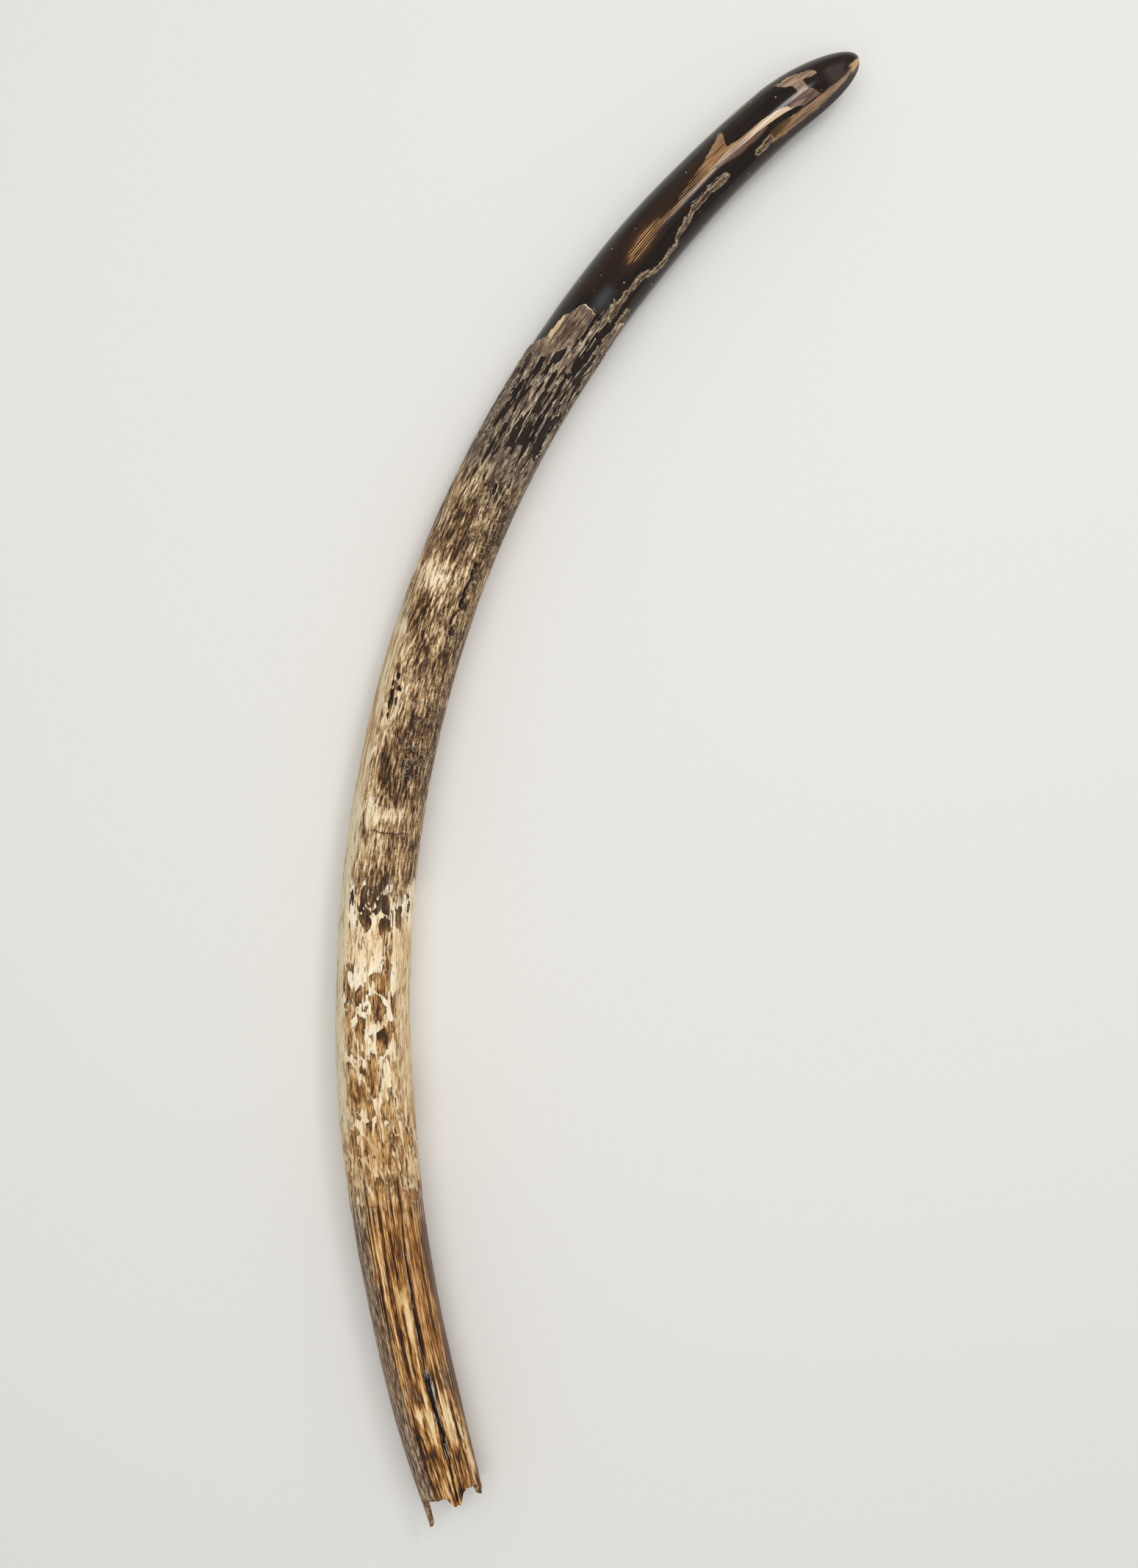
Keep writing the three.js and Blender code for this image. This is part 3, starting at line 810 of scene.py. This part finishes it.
grain = b.node("ShaderNodeAttribute", {"attribute_name": "grain"}, out=1)
along, up, side = b.split(grain)
turn = b.node("ShaderNodeMath", {"operation": "ARCTAN2"}, [side, up]) * (180 / math.pi)
top = b.step(up, -3, 3)
drift, slow = pattern("drift"), pattern("slow")
side_w = side + pattern("drift_across") * 7


def stretch(name):
    """1 on a stretch of the tusk whose ends wander."""
    low, high, soft, wander = STRETCHES[name]
    return b.band(along + slow * wander + drift * 16, mark(low, 0)[0], mark(high, 0)[0], soft)


def past(low, soft, wander):
    """1 past a place in plan, with an edge that wanders."""
    at = mark(low, 0)[0]
    return b.step(along + slow * wander + drift * 16, at - soft, at + soft)


def streaks(long, wide, seed, detail=3.0, roughness=0.6):
    return b.noise(grain, long, wide, detail=detail, roughness=roughness, seed=seed)


fine = streaks(11, 0.8, 81.0, 4.0, 0.65)
medium = streaks(24, 3.4, 83.0, 4.0, 0.6)
mottle = streaks(11, 1.8, 103.0, 4.0, 0.68) - 0.5
lines = streaks(110, 2.3, 61.0, 2, 0.5) * 0.42 + streaks(42, 1.2, 63.0, 3, 0.6) * 0.38
lines = lines + streaks(14, 0.6, 65.0) * 0.2

# Root: stripes from cream to umber, greyer on the bowed flank, amber on the inner one.
blotch = b.noise(grain, 42, 12, detail=3, roughness=0.6, seed=87.0)
root_lines = (lines - 0.5) * 2.2 + 0.485 + (blotch - 0.5) * 0.5 + (fine - 0.5) * 0.45 + mottle * 0.35
root_lines = root_lines + pattern("root_cream") * 0.22 - pattern("root_dark") * 0.12
root = Coat(b.ramp(root_lines, (0.34, PITCH), (0.40, tint(70, 40, 20)), (0.46, tint(118, 72, 32)),
                   (0.53, tint(162, 108, 50)), (0.60, tint(200, 148, 80)), (0.68, tint(228, 192, 134)),
                   (0.78, CREAM)))
dull = b.ramp(fine * 0.5 + lines * 0.5 + mottle * 0.45, (0.40, PITCH), (0.46, tint(88, 66, 48)),
              (0.52, tint(130, 104, 80)), (0.59, tint(206, 182, 148)))
dulled = b.step(pattern("root_dull") + (fine - 0.5) * 1.2 + (lines - 0.5) * 1.6, 0.3, 0.7)
root.lay(dulled * (1 - pattern("root_cream")), dull)
amber = b.band(turn + slow * 40, -75, -26, 7) * stretch("amber")
amber_lines = lines * 1.5 + fine * 0.5 - 0.5 + mottle * 0.4 + (blotch - 0.5) * 0.6
root.lay(amber * 0.8, b.ramp(amber_lines, (0.36, UMBER), (0.48, tint(140, 88, 40)),
                             (0.56, tint(172, 118, 60)), (0.66, tint(208, 160, 96))))
low_flank = b.step(-side, 26.5, 28.5) * (1 - past(430, 20, 10))
root.lay(low_flank * 0.8, MAUVE)
ring = b.band(along + drift * 5 - mark(65, -10)[0], -2.6, 2.6, 0.8) * b.band(side_w, -2, 16, 1.5) * top
root.lay(ring * 0.75, UMBER)

# Ivory under the lost skin, with streaky islands of skin left on it.
ivory_value = medium * 0.5 + fine * 0.5 + pattern("skin_tone") * 0.6
bared = Coat(b.ramp(ivory_value, (0.34, TAN), (0.40, GOLD), (0.46, CREAM), (0.53, IVORY)))
golden = stretch("golden") + stretch("golden_again")
bared.lay(golden * 0.45, b.ramp(ivory_value, (0.36, AMBER), (0.44, tint(206, 158, 96)),
                                (0.54, tint(238, 204, 150))))
island = pattern("island")
early = b.fall(along + slow * 60, 345, 385)
tone = (streaks(24, 8, 109.0, 2.0) - 0.5) * 0.7 + early * 0.06
skin = Coat(b.ramp(fine * 0.7 + mottle * 0.7 + tone + pattern("skin_tone") + 0.17, (0.35, UMBER),
                   (0.42, BROWN), (0.49, tint(164, 118, 66)), (0.58, tint(204, 160, 102)),
                   (0.68, tint(232, 204, 156))))
# A dark rim just inside the skin's edges: painted shade along the edges of the raised skin.
rim = b.fall(island, 0.4, 1.1) * b.step(medium, 0.44, 0.56) * (1 - golden * 0.2)
skin.lay(rim * 0.75, PITCH)
skin.lay(stretch("dark_skin") * 0.75, PITCH)
net = Coat(b.mix(b.step(island, -0.25, 0.1), bared.colour, skin.colour))
dashed = b.step(streaks(15, 2.0, 89.0, 2.0), 0.60, 0.615) * stretch("dashes") * b.band(turn, -60, 52, 6)
net.lay(dashed * 0.85, b.mix(b.step(fine, 0.45, 0.55), PITCH, BROWN))
knot_at, knot_side = mark(777, 3.5)
from_knot = [along - knot_at, side_w - knot_side]
knot = b.band(from_knot[0] * from_knot[0] + from_knot[1] * from_knot[1], 3.0, 6.5, 1.5) * top
net.lay(knot * 0.6, tint(140, 100, 56))
found_net = b.step(along + slow * 110 + mottle * 90 + (lines - 0.5) * 260, 254, 308)
coat = Coat(b.mix(found_net, root.colour, net.colour))

# Brown fibrous bark: fine streaks crossed by growth lines, with lighter and darker clouds.
cross = b.noise(grain, 1.3, 8, detail=4, roughness=0.65, seed=85.0)
bark_value = fine * 0.4 + medium * 0.45 + cross * 0.15 + mottle * 1.25 + (blotch - 0.5) * 0.4
bark_value = bark_value + pattern("cloud") * 1.3
bark = Coat(b.ramp(bark_value, (0.32, tint(46, 30, 18)), (0.39, tint(84, 56, 32)), (0.46, tint(124, 94, 60)),
                   (0.53, tint(164, 132, 92)), (0.61, tint(206, 174, 128)), (0.70, tint(244, 228, 194))))
grey_bark = b.ramp(bark_value, (0.34, PITCH), (0.41, UMBER), (0.49, GREY_BROWN), (0.58, ASH), (0.68, BONE))
bark.lay(b.step(along + slow * 160, 840, 960) * 0.65, grey_bark)
fissures = b.step(streaks(9, 1.2, 113.0, 2.0), 0.58, 0.61) * stretch("fissures") * b.step(-side_w, -17, -8)
bark.lay(fissures * 0.85, BLACK)
curls = b.noise(grain, 6.5, 5, detail=2.5, roughness=0.6, distortion=0.9, seed=91.0)
curled = b.fall(abs(curls - 0.5), 0.010, 0.030) * b.step(streaks(4.5, 4, 93.0, 1.0), 0.46, 0.52)
curled = curled * (stretch("curls") + stretch("curls_again")) * b.step(-side_w, 0, 8)
bark.lay(curled * 0.45, BONE)
coat.lay(b.step(along + slow * 90 + mottle * 60, 546, 556), bark.colour)

# Smooth pale olive margin on the bowed flank, cream on the inner one.
flank = Coat(b.ramp(fine * 0.5 + medium * 0.5 + mottle * 0.4, (0.34, BROWN), (0.40, OLIVE),
                    (0.47, PALE_OLIVE), (0.60, BONE)))
stained = stretch("stained") * b.fall(lines * 0.5 + medium * 0.5, 0.46, 0.54)
flank.lay(stained * 0.8, tint(168, 128, 76))
coat.lay(pattern("margin"), flank.colour)
inner_cream = b.band(turn, -90, -42, 5) * stretch("inner_cream")
coat.lay(inner_cream * 0.75, b.ramp(fine * 0.5 + lines * 0.5, (0.43, BROWN), (0.48, GOLD), (0.54, CREAM)))
transverse = b.band(along + drift * 7 - mark(918, 0)[0] - abs(side + 6) * 0.12, -0.7, 0.7, 0.35)
coat.lay(transverse * b.band(side, -22, 8, 3) * top * 0.8, PITCH)

# Flaked bark: grey-tan scales over the bare dark dentine, with a painted highlight along their edges.
scale_colour = b.ramp(fine * 0.6 + mottle * 0.7 + 0.19, (0.40, PITCH), (0.47, MAUVE), (0.55, GREY_BROWN),
                      (0.65, ASH))
coat.lay(past(1435, 14, 30) * 0.85, scale_colour)
patch_colour = b.ramp(fine * 0.4 + medium * 0.5 + mottle * 0.7 + 0.04, (0.38, UMBER), (0.49, MAUVE),
                      (0.57, tint(146, 124, 98)), (0.67, GOLD))
patch_kept = stretch("patch") * b.band(side_w, -3, 24, 1.5) * top
coat.lay(patch_kept, patch_colour)
gold_streak = stretch("gold_streak") * b.band(side_w, 13.5, 17, 1.0) * top
coat.lay(gold_streak * b.step(fine, 0.38, 0.46), b.ramp(medium, (0.42, tint(190, 150, 98)), (0.55, CREAM)))
shreds = streaks(14, 1.1, 105.0, 2.0, 0.5) - 0.5
thickness = pattern("wear") + shreds * 0.5 * b.step(along, 880, 950) * (1 - patch_kept)
# Painted highlight: a pale line along the raised edges of the scales.
flake_edge_highlight = b.step(thickness, -0.02, 0.0) * b.fall(thickness, 0.025, 0.06) * b.step(along, 880, 930)
coat.lay(flake_edge_highlight * b.step(medium, 0.36, 0.56), tint(206, 188, 160))
edge = pattern("edge")
coat.lay(b.band(edge, -0.5, 1.2, 0.4) * top * 0.8, BONE)
ragged = (streaks(3.6, 1.3, 107.0, 2.0, 0.6) - 0.5) * 4
on_bark = b.step(edge, -0.3, 0.3)
ribbon_depth = pattern("ribbon") + ragged * 0.8
ribbon = b.step(ribbon_depth, -0.2, 0.2)
ribbon_coat = Coat(b.ramp(fine, (0.40, PITCH), (0.48, UMBER), (0.56, GREY_BROWN), (0.64, ASH)))
ribbon_coat.lay(b.fall(ribbon_depth, 0.5, 1.1) * 0.8, tint(182, 158, 124))
coat.lay(ribbon * (1 - on_bark), ribbon_coat.colour)

# Bare tip: near-black dentine, with stripes and chips of lighter ivory worn through, and painted reflections
# and highlights.
hairs = streaks(70, 0.55, 95.0, 2.0)
tip = Coat(b.ramp(streaks(120, 5, 97.0), (0.40, tint(22, 14, 9)), (0.60, tint(36, 24, 15))))
# Dark olive-grey on the bowed flank: a painted reflection of the pale surround.
tip.lay(b.band(turn + slow * 40, 34, 150, 10) * 0.6, tint(48, 45, 38))
# Painted reflection: bluish grey over a dull spot on the ridge.
tip.lay(b.step(pattern("sheen"), -7, 5) * 0.5, tint(74, 78, 84))
tip.lay(b.step(pattern("warm"), -3, 8) * 0.35, tint(60, 39, 23))
striped = pattern("striped")
tip.lay(b.step(striped, -8, 4) * 0.4, tint(84, 50, 26))
swing = side * 3.1 - 1.33 + pattern("drift_across") * 3 + (hairs - 0.5) * 5 + (lines - 0.5) * 14
ruled = b.step(b.node("ShaderNodeMath", {"operation": "SINE"}, [swing]), -0.2, 0.7)
tip.lay(b.step(striped, -1.5, 3.5) * ruled * b.step(hairs, 0.38, 0.50), tint(196, 152, 98))
tip.lay(b.step(pattern("thread"), -0.2, 0.5) * ruled, tint(176, 132, 84))
wedge_lines = ruled.most(b.step(along + drift * 10, 1236, 1256))
wedge_colour = b.ramp(hairs * 0.7 + fine * 0.3, (0.38, UMBER), (0.47, tint(140, 104, 70)),
                      (0.6, tint(172, 134, 96)))
tip.lay(b.step(pattern("wedge") + ragged * 0.8, -0.3, 0.3) * wedge_lines, wedge_colour)
# Tan band with a painted highlight: lighter towards its far end, up to cream.
band_and_highlight_value = hairs + b.step(along, mark(2020, 0)[0], mark(2060, 0)[0]) * 0.12
band_and_highlight_colour = b.ramp(band_and_highlight_value, (0.40, tint(112, 80, 54)), (0.52, tint(170, 136, 98)),
                     (0.66, tint(224, 204, 170)))
tip.lay(b.step(pattern("shade") + ragged * 0.5, -0.5, 1.5) * 0.8, tint(112, 84, 72))
tip.lay(b.step(pattern("band"), -0.3, 0.4), band_and_highlight_colour)
flank_colour = b.ramp(hairs * 0.6 + medium * 0.4, (0.4, tint(98, 72, 50)), (0.5, tint(142, 110, 78)),
                      (0.6, tint(176, 146, 110)))
tip.lay(b.step(pattern("worn_flank") + ragged * 0.5, -1, 1), flank_colour)
tip.lay(b.step(pattern("olive") + ragged * 0.4, -0.8, 1.6) * 0.85, tint(80, 60, 30))
chip_colour = b.ramp(medium, (0.4, tint(124, 98, 78)), (0.6, tint(176, 148, 122)))
tip.lay(b.step(pattern("chip") + ragged, -0.3, 0.3), chip_colour)
foot_colour = b.ramp(medium, (0.4, tint(92, 70, 62)), (0.6, tint(140, 114, 102)))
tip.lay(b.step(pattern("foot") + ragged * 1.3, -0.3, 0.5), foot_colour)
edge_tan = b.band(turn + drift * 20, 60, 105, 5) * stretch("edge_tan") * b.step(medium, 0.40, 0.50)
tip.lay(edge_tan * 0.85, tint(158, 132, 88))
# Tan end of the tip, with a painted highlight in its light colour.
tip.lay(stretch("end_tan_and_highlight") * b.band(side_w, -20, -8, 2), tint(190, 158, 112))
# Painted reflection of the light on the end of the tip, in mauve-grey.
end_sheen = stretch("end_sheen") * b.band(side_w, -14, 2, 3) * top
tip.lay(end_sheen * 0.35, tint(96, 80, 80))
specks = b.fall(b.cells(grain, 11, 11, seed=99.0), 0.045, 0.07)
tip.lay(specks * 0.8, tint(196, 190, 180))

# Cracks, dark with a pale glint, and then the bark over the dentine.
crack_depth = pattern("crack")
coat.lay(b.step(crack_depth, -0.3, 0.4), BLACK)
glint = b.band(crack_depth, -1.3, 0.5, 0.3) * b.step(lines + fine * 0.5, 0.76, 0.80) * stretch("glint")
coat.lay(glint * 0.85, tint(200, 192, 178))
cover = (on_bark * b.step(thickness, -0.012, 0.012)).most(ribbon)
coat = Coat(b.mix(cover, tip.colour, coat.colour))

# Hollow root: rough dark brown dentine, paler at the broken wall.
hollow_colour = b.ramp(medium * 0.6 + fine * 0.4, (0.38, PITCH), (0.48, UMBER), (0.6, BROWN))
coat.lay(pattern("hollow"), hollow_colour)
wall_colour = b.ramp(b.noise(grain, 3, 3, detail=3, seed=101.0), (0.38, UMBER), (0.5, tint(128, 90, 58)),
                     (0.62, GOLD))
coat.lay(pattern("wall"), wall_colour)

bare_gloss = (1 - cover) * b.step(along, 1030, 1075)
roughness = (1 - bare_gloss) * (fine * 0.3 + 0.26) + 0.14
height = (fine * 0.5 + medium * 0.3) * cover + cover * 0.7 + b.step(island, -0.3, 0.2) * 0.4
bump = b.node("ShaderNodeBump", {}, {"Strength": 0.7, "Distance": 0.0007, "Height": height})
shader = b.node("ShaderNodeBsdfPrincipled", {},
                {"Base Color": coat.colour, "Roughness": roughness, "Normal": bump, "IOR": 1.5,
                 "Specular IOR Level": 0.3})
b.node("ShaderNodeOutputMaterial", {}, [shader])

finished.socket.node.inputs["Material"].default_value = ivory
modifier = tusk.modifiers.new("bark relief", "NODES")
modifier.node_group = relief
for name, value in RELIEF_SIZES.items():
    modifier[relief_inputs[name]] = value
evaluated = tusk.evaluated_get(bpy.context.evaluated_depsgraph_get())
shaped = bpy.data.meshes.new_from_object(evaluated)
shaped.name = "tusk_relief"
tusk.modifiers.remove(modifier)
tusk.data = shaped
shaped.shade_smooth()

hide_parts("tusk")
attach(tusk, "root")

# ======== Studio ========
# A plain pale floor and a pale surround, with one broad soft light overhead and a small one to the side.
FLOOR_SIZE = 8.0
PAPER_COLOUR, PAPER_ROUGHNESS = (0.80, 0.79, 0.76, 1), 0.9
SURROUND_COLOUR, SURROUND_STRENGTH = (1.0, 0.985, 0.96, 1), 0.46
floor_mesh = bpy.data.meshes.new("floor")
half = FLOOR_SIZE / 2
corners = [(-half, -half, 0), (half, -half, 0), (half, half, 0), (-half, half, 0)]
floor_mesh.from_pydata(corners, [], [(0, 1, 2, 3)])
floor = placed("floor", floor_mesh)
paper = bpy.data.materials.new("pale_floor")
paper.use_nodes = True
paper_shader = paper.node_tree.nodes["Principled BSDF"]
paper_shader.inputs["Base Color"].default_value = PAPER_COLOUR
paper_shader.inputs["Roughness"].default_value = PAPER_ROUGHNESS
floor_mesh.materials.append(paper)

world = bpy.data.worlds.new("studio")
bpy.context.scene.world = world
world.use_nodes = True
background = world.node_tree.nodes["Background"]
background.inputs["Color"].default_value = SURROUND_COLOUR
background.inputs["Strength"].default_value = SURROUND_STRENGTH

# Soft lights: place, aim, size and power.
LIGHTS = {
    "overhead": ((0.0, 0.1, 2.6), (0.0, 0.1, 0.0), 3.0, 42.0),
    "key": ((0.75, 1.05, 1.9), (0.1, 0.4, 0.0), 0.45, 8.0),
}
for name, (at, aim, size_of_light, power) in LIGHTS.items():
    light = bpy.data.lights.new(name, "AREA")
    light.shape = "SQUARE"
    light.size = size_of_light
    light.energy = power
    lamp = placed(name, light)
    lamp.location = at
    lamp.rotation_euler = (Vector(aim) - Vector(at)).to_track_quat("-Z", "Y").to_euler()
    # The polished tip mirrors the pale surround at its flanks and stays dark on top, as under a dark ceiling.
    lamp.visible_glossy = name == "key"
bpy.context.scene.view_settings.view_transform = "Standard"

# The camera looks straight down on the tusk.
VIEW_CENTRE = (-0.0254, 0.0039)
VIEW_TALL = 1.388
CAMERA_HEIGHT = 1.5
TUSK_MIDDLE = 0.03
SENSOR = 36.0
camera_data = bpy.data.cameras.new("camera")
camera_data.sensor_width = SENSOR
camera_data.lens = SENSOR * (CAMERA_HEIGHT - TUSK_MIDDLE) / VIEW_TALL
camera = placed("camera", camera_data)
camera.location = (*VIEW_CENTRE, CAMERA_HEIGHT)
bpy.context.scene.camera = camera
